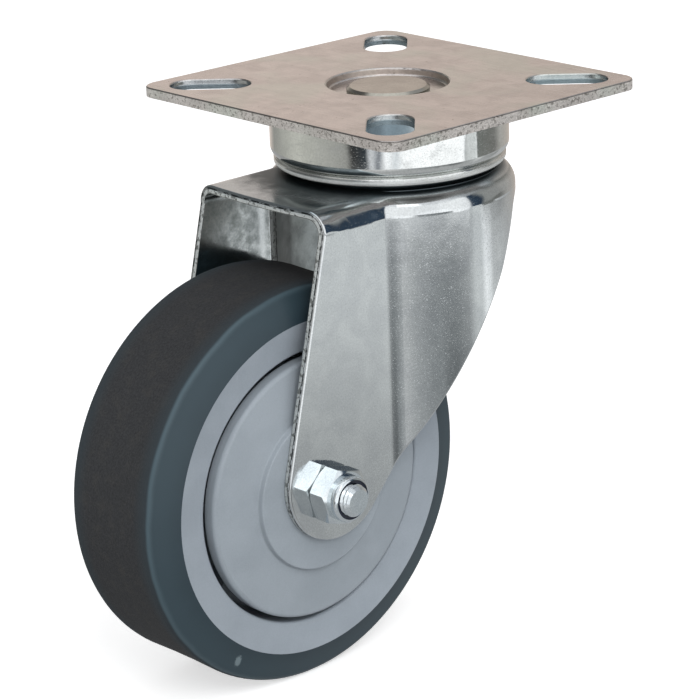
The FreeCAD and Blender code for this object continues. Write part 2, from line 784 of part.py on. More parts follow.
def bearing_ring(label, inside, outside, side, tracks):
    """One ring of a bearing, from its bore out, with its ball track."""
    body = new_body(label)
    half = "bearing_width / 2"
    turned(body, "ring", [
        (inside, f"-{half}"),
        (outside, f"-{half}"),
        (outside, half),
        (inside, half),
    ])
    ball_track(body, "track", "bearing_pitch_radius", "0", "bearing_ball_radius", "bearing_ball_play")
    if tracks == "seal_seats":
        for way in (1, -1):
            low = f"{way} * ({half} - shield_inset - shield_thickness)"
            turned(body, f"seal_seat_{'outer' if way > 0 else 'inner'}", [
                (f"{inside} - 0.5", low),
                ("bearing_seal_radius", low),
                ("bearing_seal_radius", f"{way} * ({half} + 1)"),
                (f"{inside} - 0.5", f"{way} * ({half} + 1)"),
            ], "PartDesign::Groove")
    place_bearing(body, side)


def place_bearing(body, side):
    place(body, "-trail", f"{side} * {BEARING_MIDDLE}", "-axle_drop", turn=-90 * side)


def bearing_cage(label, side):
    """The ring between the lands that keeps the balls apart, with a round pocket for each."""
    body = new_body(label)
    inner = "bearing_pitch_radius - cage_half_thickness"
    outer = "bearing_pitch_radius + cage_half_thickness"
    turned(body, "band", [
        (inner, "-cage_half_width"),
        (outer, "-cage_half_width"),
        (outer, "cage_half_width"),
        (inner, "cage_half_width"),
    ])
    before = body.Shape.Volume
    mouth = new_sketch(body, "pocket_mouth", "YZ_Plane", "bearing_pitch_radius + 2")
    circle(mouth, "0", "0", "bearing_ball_radius + cage_play")
    pocket = body.newObject("PartDesign::Pocket", "pocket")
    pocket.Profile = mouth
    pocket.Length = 4
    doc.recompute()
    check_cut(body, before, "pocket")
    polar(body, "pockets", pocket, "bearing_ball_count")
    check_cut(body, before, "pockets")
    place_bearing(body, side)


def bearing_shields(label, side):
    """The two thin washers that close a bearing, in the seats of its outer ring."""
    body = new_body(label, several_solids=True)
    for way in (1, -1):
        outer = f"{way} * (bearing_width / 2 - shield_inset)"
        inner = f"{way} * (bearing_width / 2 - shield_inset - shield_thickness)"
        turned(body, f"shield_{'outer' if way > 0 else 'inner'}", [
            ("bearing_inner_land + shield_play", inner),
            ("bearing_seal_radius", inner),
            ("bearing_seal_radius", outer),
            ("bearing_inner_land + shield_play", outer),
        ])
    place_bearing(body, side)


def bearing(name, side):
    bearing_ring(f"bearing_inner_{name}", "bearing_bore", "bearing_inner_land", side, "plain")
    bearing_ring(f"bearing_outer_{name}", "bearing_outer_land", "bearing_radius", side, "seal_seats")
    balls = ball_row(f"bearing_balls_{name}", "bearing_pitch_radius", "bearing_ball_radius",
                     "bearing_ball_count")
    place_bearing(balls, side)
    bearing_cage(f"bearing_cage_{name}", side)
    bearing_shields(f"bearing_shields_{name}", side)


def write_nodes():
    """Check every object and shape, then write one file for each node."""
    doc.recompute()
    for item in doc.Objects:
        if "Invalid" in item.State or "Error" in item.State:
            raise RuntimeError(f"{item.Label} failed: {item.State}")
    for body in nodes:
        shape = body.Shape
        if shape.isNull() or not shape.isValid() or not shape.Solids:
            raise RuntimeError(f"{body.Label} has no valid shape")
    os.makedirs("parts", exist_ok=True)
    for body in nodes:
        body.Shape.exportStep(os.path.join("parts", body.Label + ".step"))


top_plate()
raceway_cup()
kingpin()
lower_race()
swivel_balls()
fork()
axle_bolt()
lock_nut()
nut_insert()
spacer_sleeve()
wheel_rim()
tyre()
for side_name, side_sign in (("left", 1), ("right", -1)):
    thread_guard(side_name, side_sign)
    bearing(side_name, side_sign)
write_nodes()
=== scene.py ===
import json
import math

import bmesh
import bpy
from mathutils import Matrix, Vector


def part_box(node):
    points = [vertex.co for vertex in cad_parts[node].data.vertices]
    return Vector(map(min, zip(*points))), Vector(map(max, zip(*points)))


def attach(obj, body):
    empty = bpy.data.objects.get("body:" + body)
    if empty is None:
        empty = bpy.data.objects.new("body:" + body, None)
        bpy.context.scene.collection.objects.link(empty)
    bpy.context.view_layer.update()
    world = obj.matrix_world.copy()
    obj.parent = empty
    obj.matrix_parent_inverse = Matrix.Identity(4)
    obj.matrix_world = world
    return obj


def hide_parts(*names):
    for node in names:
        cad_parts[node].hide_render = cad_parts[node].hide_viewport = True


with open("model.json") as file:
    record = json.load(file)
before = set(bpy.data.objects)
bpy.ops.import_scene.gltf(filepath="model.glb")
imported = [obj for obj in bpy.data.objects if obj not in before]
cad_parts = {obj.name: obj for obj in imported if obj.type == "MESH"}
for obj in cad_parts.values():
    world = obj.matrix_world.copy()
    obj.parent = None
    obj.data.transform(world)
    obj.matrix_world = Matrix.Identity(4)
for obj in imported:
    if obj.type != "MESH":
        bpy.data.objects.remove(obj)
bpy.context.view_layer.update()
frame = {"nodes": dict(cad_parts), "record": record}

MM = 0.001

# The camera's place in metres, and its angles in degrees.
CAMERA_PLACE = Vector((-0.4661, -0.4898, 0.1569))
CAMERA_AZIMUTH = 42.616
CAMERA_FALL = 18.494
CAMERA_ROLL = -1.798
CAMERA_LENS = 144.67
SENSOR_WIDTH = 36.0

# The wheel and its axle, from the tyre's box. The shoulder is where the tread meets the side wall.
TYRE_LOW, TYRE_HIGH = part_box("tyre")
AXLE = (TYRE_LOW + TYRE_HIGH) / 2
WHEEL_RADIUS = (TYRE_HIGH.z - TYRE_LOW.z) / 2
SHOULDER_INSET = 3.6 * MM
SHOULDER = (TYRE_HIGH.y - TYRE_LOW.y) / 2 - SHOULDER_INSET
# A pale fleck in the tyre's right side wall, near the floor: its middle, and its reach along each axis.
FLECK = (-69.5 * MM, -15.6 * MM, -127.5 * MM)
FLECK_REACH = (0.9 * MM, 3 * MM, 1.7 * MM)

# The plate, the race's cup and the fork, from the CAD nodes' boxes.
PLATE_HALF_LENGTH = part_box("top_plate")[1].x
PLATE_EXTRA_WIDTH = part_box("top_plate")[1].y - PLATE_HALF_LENGTH
DIMPLE_REACH = 20 * MM
CUP_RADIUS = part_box("raceway_cup")[1].x
CUP_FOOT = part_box("raceway_cup")[0].z
BEAD_HEIGHT = 2.6 * MM
LEG_FACE = -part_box("lock_nut")[1].y
SWIVEL_GAP = 1.3 * MM
CROWN_TOP = CUP_FOOT - SWIVEL_GAP
NOSE_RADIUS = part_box("fork")[1].y
CROWN_BEND = 5.2 * MM
# The nose meets the flat legs near this place along X. Beside it lie a strip of painted shade on the nose's
# inner wall and a painted highlight streak on the legs' inner faces.
NOSE_START = -17 * MM
CREASE = (-21 * MM, -9 * MM)
HIGHLIGHT_STREAK = (-26 * MM, -24 * MM)
# Depths under the fork's outer skin: the cut edge is torn first and then smooth, and the inner face
# follows.
TORN_DEPTH = 0.5 * MM
LAND_DEPTH = 0.95 * MM
LAND_END = 1.85 * MM
INNER_FACE_DEPTH = (1.88 * MM, 1.96 * MM)
# A patch of painted shade on the cup's upper wall under the plate, by height and by X + Y, which is least
# towards the plate's rear right corner.
SHADE_CORNER = (-41.5 * MM, -39.5 * MM)
SHADE_HEIGHT = (-7.5 * MM, -6 * MM)

# The axle bolt, M8.
BOLT_RADIUS = 3.98 * MM
END_CHAMFER = 1 * MM
THREAD_PITCH = 1.25 * MM
THREAD_DEPTH = 0.6 * MM
THREAD_LENGTH = 14 * MM
# The share of each flank's height that the flat crest takes away.
THREAD_CREST = 0.12
ROWS_PER_TURN = 12
SHANK_SEGMENTS = 72
HEAD_ACROSS_FLATS = 13 * MM
HEAD_TURN = math.radians(20)
HEAD_FLATS = 6
HEAD_ROWS = 24
HEAD_SEGMENTS = 144
# The head's chamfer: its radius at the outer face, as a multiple of half the width across flats, and how
# fast that radius grows below the face.
HEAD_CHAMFER_START = 1.02
HEAD_CHAMFER_SLOPE = 1.7
SHARP_ANGLE = math.radians(20)

# Scratches and rolling marks on the steel run along Y. The noise they come from is turned by this much
# about each axis, in degrees.
MARKS_TURN = (0, 0, 43)


# ---------------------------------------------------------------- material helpers

class Shade:
    """A node tree under construction: adds nodes and links them in few words."""

    def __init__(self, tree):
        self.tree = tree
        self.tree.nodes.clear()

    def node(self, kind, inputs=None, **settings):
        made = self.tree.nodes.new(kind)
        for name, setting in settings.items():
            setattr(made, name, setting)
        for name, given in (inputs or {}).items():
            self.feed(made.inputs[name], given)
        return made

    def feed(self, socket, given):
        if isinstance(given, bpy.types.NodeSocket):
            self.tree.links.new(given, socket)
        else:
            socket.default_value = given

    def math(self, operation, *given):
        made = self.node("ShaderNodeMath", operation=operation)
        for socket, value in zip(made.inputs, given):
            self.feed(socket, value)
        return made.outputs[0]

    def times(self, first, second):
        return self.math("MULTIPLY", first, second)

    def plus(self, first, second):
        return self.math("ADD", first, second)

    def minus(self, first, second):
        return self.math("SUBTRACT", first, second)

    def absolute(self, value):
        return self.math("ABSOLUTE", value)

    def spread(self, value, low, high, to_low, to_high, smooth=False):
        """Maps value from low..high to to_low..to_high, and holds it at the ends."""
        return self.node(
            "ShaderNodeMapRange",
            {"Value": value, "From Min": low, "From Max": high, "To Min": to_low, "To Max": to_high},
            interpolation_type="SMOOTHSTEP" if smooth else "LINEAR",
        ).outputs["Result"]

    def blend(self, factor, first, second, kind="MIX"):
        """Mixes two colours."""
        made = self.node("ShaderNodeMix", data_type="RGBA", blend_type=kind)
        self.feed(made.inputs[0], factor)
        self.feed(made.inputs[6], first)
        self.feed(made.inputs[7], second)
        return made.outputs[2]

    def place(self):
        """Points of the piece at rest, in metres."""
        return self.node("ShaderNodeTexCoord").outputs["Object"]

    def stretch(self, vector, scale, turn=(0, 0, 0)):
        """Scales the vector along each axis, and then turns it by degrees."""
        return self.node(
            "ShaderNodeMapping",
            {"Vector": vector, "Scale": scale, "Rotation": [math.radians(a) for a in turn]},
        ).outputs["Vector"]

    def noise(self, vector, size, detail=3.0, roughness=0.55, distortion=0.0):
        """Noise from 0 to 1 whose patches are about size metres across."""
        return self.node(
            "ShaderNodeTexNoise",
            {"Vector": vector, "Scale": 1 / size, "Detail": detail, "Roughness": roughness,
             "Distortion": distortion},
        ).outputs["Fac"]

    def bump(self, height, depth, normal=None):
        """Tilts the surface by a height of 0 to 1 that stands for depth metres."""
        inputs = {"Height": height, "Distance": depth}
        if normal is not None:
            inputs["Normal"] = normal
        return self.node("ShaderNodeBump", inputs).outputs["Normal"]


def rgb(red, green, blue):
    """A linear colour from three sRGB values of 0 to 255."""
    def linear(v):
        v = v / 255
        return v / 12.92 if v <= 0.04045 else ((v + 0.055) / 1.055) ** 2.4
    return (linear(red), linear(green), linear(blue), 1.0)


def new_material(name):
    made = bpy.data.materials.new(name)
    made.use_nodes = True
    return made, Shade(made.node_tree)


def surface(shade, color, roughness, metallic=0.0, normal=None, **extra):
    """The Principled shader that ends every material."""
    inputs = {"Base Color": color, "Roughness": roughness, "Metallic": metallic}
    if normal is not None:
        inputs["Normal"] = normal
    inputs.update({name.replace("_", " "): given for name, given in extra.items()})
    made = shade.node("ShaderNodeBsdfPrincipled", inputs)
    out = shade.node("ShaderNodeOutputMaterial")
    shade.tree.links.new(made.outputs[0], out.inputs["Surface"])


def tint(shade, color, factor):
    """Darkens or lightens a colour by a number that varies over the surface."""
    grey = shade.node("ShaderNodeCombineColor", {0: factor, 1: factor, 2: factor}).outputs[0]
    return shade.blend(1.0, color, grey, kind="MULTIPLY")


def axes_of(shade, vector):
    """The three coordinates of a vector."""
    return shade.node("ShaderNodeSeparateXYZ", {"Vector": vector}).outputs


def length_of(shade, first, second):
    """The length of a flat vector from its two coordinates."""
    return shade.math("SQRT", shade.plus(shade.times(first, first), shade.times(second, second)))


def band(shade, value, low, high, soft):
    """1 between low and high, 0 outside, over a soft edge."""
    rising = shade.spread(value, low - soft, low + soft, 0, 1, smooth=True)
    falling = shade.spread(value, high - soft, high + soft, 1, 0, smooth=True)
    return shade.times(rising, falling)


class Plating:
    """Zinc plate on steel: two near greys in patches, with speckle, pits, scratches and slight waves."""

    def __init__(self, name, light, dark, rough, grain=1.0, wave=1.0, scratch=1.0, pits=0.0):
        self.material, self.shade = new_material(name)
        shade = self.shade
        self.place = shade.place()
        self.axes = axes_of(shade, self.place)
        patches = shade.noise(self.place, 9 * MM, detail=4, distortion=0.6)
        self.color = shade.blend(shade.spread(patches, 0.35, 0.65, 0, 1, smooth=True), dark, light)
        speckle = shade.noise(self.place, 0.45 * MM, detail=2)
        self.color = tint(shade, self.color, shade.spread(speckle, 0.3, 0.7, 0.9, 1.06))
        streaks = shade.noise(shade.stretch(self.place, (1, 0.03, 1), turn=MARKS_TURN), 0.3 * MM, detail=3)
        scratches = shade.spread(streaks, 0.62, 0.74, 0, 1)
        self.rough = shade.spread(shade.noise(self.place, 3 * MM, detail=5), 0.3, 0.7, *rough)
        self.rough = shade.plus(self.rough, shade.times(scratches, 0.08 * scratch))
        self.metallic = 1.0
        self.normal = shade.bump(shade.noise(self.place, 7 * MM, detail=1), 0.06 * MM * wave)
        self.normal = shade.bump(speckle, 0.006 * MM * grain, normal=self.normal)
        self.normal = shade.bump(scratches, 0.004 * MM * scratch, normal=self.normal)
        if pits:
            holes = shade.spread(shade.noise(self.place, 1.3 * MM, detail=1), 0.72, 0.78, 0, pits)
            self.color = shade.blend(holes, self.color, rgb(120, 108, 98))

    def paint(self, mask, color, rough):
        """Where mask is 1, multiplies the colour and sets the roughness."""
        self.color = self.shade.blend(mask, self.color, color, kind="MULTIPLY")
        blended = self.shade.node("ShaderNodeMix", {0: mask}, data_type="FLOAT")
        self.shade.feed(blended.inputs[2], self.rough)
        self.shade.feed(blended.inputs[3], rough)
        self.rough = blended.outputs[0]

    def dull(self, mask, metallic):
        """Where mask is 1, the metal scatters light like a grey powder: it keeps only part of its mirror."""
        self.metallic = self.shade.spread(mask, 0, 1, 1.0, metallic)

    def roughen(self, mask, size, depth):
        """Where mask is 1, breaks the surface into grains of the given size and depth."""
        grains = self.shade.noise(self.place, size, detail=3, roughness=0.7)
        self.normal = self.shade.bump(self.shade.times(grains, mask), depth, normal=self.normal)

    def done(self):
        surface(self.shade, self.color, self.rough, metallic=self.metallic, normal=self.normal)
        return self.material


def zinc(name, light, dark, rough, **detail):
    return Plating(name, light, dark, rough, **detail).done()


def plate_zinc():
    """The top plate: a rolled, scratched face, a grainy sheared rim, burnished slot walls and the dimple."""
    made = Plating("plate_zinc", rgb(216, 210, 207), rgb(198, 192, 189), (0.16, 0.26), pits=0.8, scratch=1.6)
    shade = made.shade
    rolled_face(made)
    # Steep faces are split by where they lie: the rim, the dimple's wall, and the slots' walls.
    facing = axes_of(shade, shade.node("ShaderNodeTexCoord").outputs["Normal"])
    flank = shade.spread(shade.absolute(facing["Z"]), 0.35, 0.6, 1, 0)
    # How far out a point lies, as if the plate were square.
    reach = shade.math("MAXIMUM", shade.absolute(made.axes["X"]),
                       shade.minus(shade.absolute(made.axes["Y"]), PLATE_EXTRA_WIDTH))
    near_rim = shade.spread(reach, PLATE_HALF_LENGTH - 2.6 * MM, PLATE_HALF_LENGTH - 1.8 * MM, 0, 1)
    rim = shade.times(flank, near_rim)
    from_swivel = length_of(shade, made.axes["X"], made.axes["Y"])
    off_dimple = shade.spread(from_swivel, DIMPLE_REACH, DIMPLE_REACH + 1 * MM, 0, 1)
    inner = shade.minus(flank, rim)
    slot_wall = shade.times(inner, off_dimple)
    made.paint(slot_wall, rgb(240, 250, 255), 0.2)
    torn = shade.times(slot_wall, shade.spread(made.axes["Z"], -1.5 * MM, -1.1 * MM, 1, 0))
    made.paint(torn, rgb(196, 210, 218), 0.35)
    made.paint(shade.minus(inner, slot_wall), rgb(240, 230, 222), 0.45)
    sheared_rim(made, rim)
    made.roughen(torn, 0.5 * MM, 0.2 * MM)
    # A dark line where the shear first bit, just under the rim's upper edge.
    bite = band(shade, made.axes["Z"], -0.32 * MM, -0.12 * MM, 0.08 * MM)
    made.paint(shade.times(bite, shade.times(near_rim, 0.75)), rgb(90, 86, 80), 0.5)
    return made.done()


def rolled_face(made):
    """The plate's face: a greenish haze in wide patches, and the long marks of the rolling mill."""
    shade = made.shade
    haze = shade.spread(shade.noise(made.place, 24 * MM, detail=2), 0.45, 0.65, 0, 0.7, smooth=True)
    made.color = shade.blend(haze, made.color, rgb(203, 208, 200))
    rolled = shade.noise(shade.stretch(made.place, (1, 0.06, 1), turn=MARKS_TURN), 0.9 * MM, detail=4)
    made.color = tint(shade, made.color, shade.spread(rolled, 0.3, 0.7, 0.92, 1.05))


def sheared_rim(made, rim):
    """The plate's pale, crumbly rim."""
    shade = made.shade
    made.paint(rim, rgb(255, 255, 252), 0.3)
    made.dull(rim, 0.2)
    crumbs = shade.spread(shade.noise(made.place, 0.8 * MM, detail=3), 0.55, 0.63, 0, 0.7)
    made.paint(shade.times(rim, crumbs), rgb(128, 126, 118), 0.5)
    made.roughen(rim, 0.7 * MM, 0.8 * MM)


def fork_zinc():
    """The pressed fork: glossy skin, painted shade round the race and on the dull insides, and sheared
    edges.
    """
    made = Plating("fork_zinc", rgb(216, 219, 219), rgb(205, 208, 209), (0.07, 0.1), grain=0.2, wave=0.22)
    shade = made.shade
    from_swivel = length_of(shade, made.axes["X"], made.axes["Y"])
    crown_race_shade(made, from_swivel)
    nose_inside(made, from_swivel)
    depth = fork_sheet_depth(shade, made.axes)
    behind = shade.spread(made.axes["X"], NOSE_START, NOSE_START + 2 * MM, 1, 0)
    legs_inside(made, depth, behind)
    sheared_edges(made, depth, behind)
    drawn_bend(made)
    return made.done()


def crown_race_shade(made, from_swivel):
    """The crown's top, with painted shade for the cup's shadow and dark reflection, fading away from the
    race.
    """
    shade = made.shade
    on_top = shade.spread(made.axes["Z"], CROWN_TOP - 1.4 * MM, CROWN_TOP - 0.4 * MM, 0, 1)
    made.paint(on_top, rgb(222, 232, 238), 0.1)
    # Painted shade round the race: a darker ring with a wobbly edge that fades outwards.
    race_shade_wobble = shade.spread(shade.noise(made.place, 4 * MM, detail=3), 0.3, 0.7, -2 * MM, 2 * MM)
    race_shade_start = CUP_RADIUS + 2 * MM
    race_shade_end = CUP_RADIUS + 14 * MM
    race_shade = shade.spread(shade.plus(from_swivel, race_shade_wobble), race_shade_start, race_shade_end, 1, 0, smooth=True)
    made.paint(shade.times(race_shade, on_top), rgb(138, 143, 144), 0.4)


def nose_inside(made, from_swivel):
    """The nose's inner wall: dull and smudged, with painted shade beside the crease where the legs start."""
    shade = made.shade
    within = shade.spread(from_swivel, NOSE_RADIUS - 1.5 * MM, NOSE_RADIUS - 0.7 * MM, 1, 0)
    under = shade.spread(made.axes["Z"], CROWN_TOP - 1.6 * MM, CROWN_TOP - 1.2 * MM, 1, 0)
    inside = shade.times(within, under)
    ahead = shade.spread(made.axes["X"], NOSE_START - 10 * MM, NOSE_START, 0, 1, smooth=True)
    nose_wall = shade.times(inside, ahead)
    made.paint(nose_wall, rgb(208, 211, 210), 0.3)
    smudges = shade.spread(shade.noise(made.place, 5 * MM, detail=4), 0.42, 0.62, 0, 0.6)
    made.paint(shade.times(nose_wall, smudges), rgb(170, 172, 170), 0.34)
    # Painted shade in the crease, on the nose's inner wall.
    crease = band(shade, made.axes["X"], *CREASE, 1.5 * MM)
    made.paint(shade.times(inside, crease), rgb(172, 172, 172), 0.3)


def legs_inside(made, depth, behind):
    """The inner faces of the legs and crown: painted shade, mottled, left off in one upright painted
    highlight streak.
    """
    shade = made.shade
    mottle = shade.spread(shade.noise(made.place, 3 * MM, detail=5, roughness=0.7), 0.35, 0.65, 0.35, 1)
    # Painted shade on the inner faces, which face the wheel.
    inner_shade = shade.times(shade.spread(depth, *INNER_FACE_DEPTH, 0, 1), behind)
    # A painted highlight: an upright streak where the painted shade is left off.
    highlight_streak = band(shade, made.axes["X"], *HIGHLIGHT_STREAK, 0.8 * MM)
    inner_shade = shade.times(inner_shade, shade.spread(highlight_streak, 0, 1, 1, 0))
    made.paint(shade.times(inner_shade, mottle), rgb(186, 190, 188), 0.24)


def sheared_edges(made, depth, behind):
    """The cut edges of the sheet: a pale chipped land, and a darker torn strip nearer the outer skin."""
    shade = made.shade
    land = shade.times(band(shade, depth, LAND_DEPTH, LAND_END, 0.06 * MM), behind)
    fracture = shade.times(band(shade, depth, TORN_DEPTH, LAND_DEPTH, 0.08 * MM), behind)
    made.paint(land, rgb(250, 252, 250), 0.3)
    made.dull(land, 0.4)
    torn = shade.spread(shade.noise(made.place, 1.3 * MM, detail=3), 0.42, 0.52, 0.1, 1)
    made.paint(shade.times(fracture, torn), rgb(80, 82, 84), 0.55)
    chips = shade.spread(shade.noise(made.place, 1 * MM, detail=3), 0.53, 0.6, 0, 0.8)
    made.paint(shade.times(land, chips), rgb(112, 112, 108), 0.5)
    made.roughen(shade.math("MAXIMUM", land, fracture), 0.6 * MM, 0.4 * MM)


def drawn_bend(made):
    """Slow waves along the foot of the crown's bend, where the sheet was drawn over the tool."""
    shade = made.shade
    bend_foot = CROWN_TOP - CROWN_BEND
    drawn = band(shade, made.axes["Z"], bend_foot + 0.4 * MM, bend_foot + 3 * MM, 1 * MM)
    waves = shade.noise(shade.stretch(made.place, (1, 1, 0.4)), 9 * MM, detail=1)
    waves = shade.spread(waves, 0.3, 0.7, -0.5, 0.5)
    made.normal = shade.bump(shade.times(waves, drawn), 0.2 * MM, normal=made.normal)


def cup_zinc():
    """The race's cup: bright drawn steel, a burnished bead and painted shade under the rear right slot."""
    made = Plating("cup_zinc", rgb(228, 230, 228), rgb(218, 220, 218), (0.04, 0.08), grain=0.3, wave=1.3)
    shade = made.shade
    bead_top = CUP_FOOT + BEAD_HEIGHT
    bead = shade.spread(made.axes["Z"], bead_top, bead_top + 0.6 * MM, 1, 0)
    made.paint(bead, rgb(255, 255, 255), 0.16)
    burnished = band(shade, made.axes["Z"], CUP_FOOT + 0.3 * MM, CUP_FOOT + 1.3 * MM, 0.3 * MM)
    made.paint(burnished, rgb(255, 255, 255), 0.3)
    made.dull(burnished, 0.35)
    # Painted shade where the plate's rear right corner overhangs the cup's upper wall.
    corner = shade.spread(shade.plus(made.axes["X"], made.axes["Y"]), *SHADE_CORNER, 1, 0, smooth=True)
    height = shade.spread(made.axes["Z"], *SHADE_HEIGHT, 0, 1, smooth=True)
    made.paint(shade.times(corner, height), rgb(150, 166, 176), 0.2)
    return made.done()


def fork_sheet_depth(shade, axes):
    """How far a point of the fork's legs or crown lies under the outer skin of the bent sheet."""
    out = shade.minus(shade.absolute(axes["Y"]), LEG_FACE - CROWN_BEND)
    rise = shade.minus(axes["Z"], CROWN_TOP - CROWN_BEND)
    round_part = length_of(shade, shade.math("MAXIMUM", out, 0), shade.math("MAXIMUM", rise, 0))
    flat_part = shade.math("MINIMUM", shade.math("MAXIMUM", out, rise), 0)
    return shade.minus(CROWN_BEND, shade.plus(round_part, flat_part))


def moulded(name, light, dark, roughness):
    """Moulded plastic: faint flow clouds, a fine spark-eroded texture and a few light rubs."""
    made, shade = new_material(name)
    place = shade.place()
    clouds = shade.spread(shade.noise(place, 14 * MM, detail=3), 0.35, 0.65, 0, 1, smooth=True)
    color = shade.blend(clouds, dark, light)
    grain = shade.noise(place, 0.35 * MM, detail=2)
    color = tint(shade, color, shade.spread(grain, 0.3, 0.7, 0.96, 1.04))
    rubs = shade.noise(shade.stretch(place, (1, 1, 0.05), turn=(0, 25, 0)), 0.4 * MM, detail=2)
    rubs = shade.spread(rubs, 0.7, 0.78, 0, 0.2)
    color = shade.blend(rubs, color, rgb(190, 198, 205))
    rough = shade.spread(shade.noise(place, 2 * MM, detail=4), 0.3, 0.7, roughness - 0.05, roughness + 0.06)
    surface(shade, color, rough, normal=shade.bump(grain, 0.006 * MM))
    return made


def rubber(name):
    """Tyre rubber: a matt, ground tread that turns bluish towards its shoulders, and smooth side walls."""
    made, shade = new_material(name)
    place = shade.place()
    axes = axes_of(shade, place)
    wander = shade.spread(shade.noise(place, 9 * MM, detail=1), 0.3, 0.7, -0.12 * MM, 0.12 * MM)
    across = shade.plus(shade.absolute(axes["Y"]), wander)
    grit = shade.noise(place, 0.5 * MM, detail=4, roughness=0.7)
    side = shade.spread(across, SHOULDER - 0.5 * MM, SHOULDER + 0.3 * MM, 0, 1, smooth=True)
    color = shade.blend(side, tread_color(shade, place, across, grit), wall_color(shade, place, axes))
    # A painted highlight along the shoulder's edge.
    shoulder_highlight = band(shade, across, SHOULDER, SHOULDER + 0.7 * MM, 0.35 * MM)
    color = shade.blend(shade.times(shoulder_highlight, 0.6), color, rgb(74, 92, 100))
    color = shade.blend(fleck_mask(shade, place, grit), color, rgb(140, 155, 160))
    rough = shade.spread(side, 0, 1, 0.92, 0.5)
    grain = shade.times(grit, shade.spread(side, 0, 1, 1.0, 0.1))
    surface(shade, color, rough, normal=shade.bump(grain, 0.12 * MM))
    return made


def tread_color(shade, place, across, grit):
    """Gritty near-black with brownish blotches, bluish towards the shoulders."""
    tread = shade.blend(shade.spread(grit, 0.35, 0.65, 0, 1), rgb(38, 39, 41), rgb(53, 54, 56))
    blotch = shade.noise(place, 4 * MM, detail=4, roughness=0.65)
    tread = shade.blend(shade.spread(blotch, 0.5, 0.75, 0, 0.35), tread, rgb(66, 64, 60))
    return shade.blend(shade.spread(across, 8 * MM, 13 * MM, 0, 0.8, smooth=True), tread, rgb(46, 54, 59))


def wall_color(shade, place, axes):
    """Clouded slate blue, a little lighter towards the shoulder."""
    clouds = shade.spread(shade.noise(place, 10 * MM, detail=2), 0.3, 0.7, 0, 1)
    wall = shade.blend(clouds, rgb(37, 52, 60), rgb(42, 58, 66))
    radius = length_of(shade, shade.minus(axes["X"], AXLE.x), shade.minus(axes["Z"], AXLE.z))
    near_shoulder = shade.spread(radius, WHEEL_RADIUS - 9 * MM, WHEEL_RADIUS - 3 * MM, 0, 0.7, smooth=True)
    return shade.blend(near_shoulder, wall, rgb(50, 67, 75))


def fleck_mask(shade, place, grit):
    """The pale fleck in the side wall, with a ragged edge."""
    offset = shade.node("ShaderNodeVectorMath", {0: place, 1: FLECK}, operation="SUBTRACT").outputs[0]
    offset = shade.stretch(offset, tuple(1 / reach for reach in FLECK_REACH))
    away = shade.node("ShaderNodeVectorMath", {0: offset}, operation="LENGTH").outputs["Value"]
    ragged = shade.plus(away, shade.spread(grit, 0.3, 0.7, -0.3, 0.3))
    return shade.spread(ragged, 0.7, 1.1, 0.6, 0)


MATERIALS = {
    "plate_zinc": plate_zinc(),
    "cup_zinc": cup_zinc(),
    "fork_zinc": fork_zinc(),
    "fastener_zinc": zinc("fastener_zinc", rgb(226, 232, 234), rgb(212, 219, 223), (0.08, 0.14), grain=0.5),
    "bearing_steel": zinc("bearing_steel", rgb(190, 190, 190), rgb(178, 178, 178), (0.12, 0.2)),
    "nylon": moulded("nylon", rgb(22, 30, 50), rgb(16, 22, 38), 0.35),
    "rim_plastic": moulded("rim_plastic", rgb(156, 164, 172), rgb(149, 157, 165), 0.45),
    "guard_plastic": moulded("guard_plastic", rgb(158, 166, 173), rgb(151, 159, 166), 0.42),
    "tyre_rubber": rubber("tyre_rubber"),
}
PIN_ZINC = zinc("pin_zinc", rgb(182, 180, 171), rgb(166, 163, 154), (0.14, 0.24), pits=0.6)


# ---------------------------------------------------------------- finishes on the CAD nodes

def finish_nodes():
    """Gives each CAD node the material of its slot in the record, except the kingpin, which gets its own pin
    zinc.
    """
    slots = {part["node"]: part["material_slot"] for part in frame["record"]["subparts"]}
    for name, node in frame["nodes"].items():
        node.data.materials.clear()
        node.data.materials.append(PIN_ZINC if name == "kingpin" else MATERIALS[slots[name]])


# ---------------------------------------------------------------- the axle bolt with its thread

def polar_skin(name, rows, radius_at, segments):
    """A closed skin round the axle: at each row's place along Y, radius_at(row, angle) from the axle."""
    skin = bmesh.new()
    rings = []
    for row in rows:
        ring_points = []
        for step in range(segments):
            angle = 2 * math.pi * step / segments
            radius = radius_at(row, angle)
            ring_points.append(skin.verts.new((AXLE.x + radius * math.cos(angle), row,
                                               AXLE.z + radius * math.sin(angle))))
        rings.append(ring_points)
    for lower, upper in zip(rings, rings[1:]):
        for step in range(segments):
            after = (step + 1) % segments
            skin.faces.new((lower[step], upper[step], upper[after], lower[after]))
    skin.faces.new(rings[0])
    skin.faces.new(rings[-1][::-1])
    mesh = bpy.data.meshes.new(name)
    bmesh.ops.recalc_face_normals(skin, faces=skin.faces)
    skin.to_mesh(mesh)
    skin.free()
    piece = bpy.data.objects.new(name, mesh)
    bpy.context.scene.collection.objects.link(piece)
    return piece


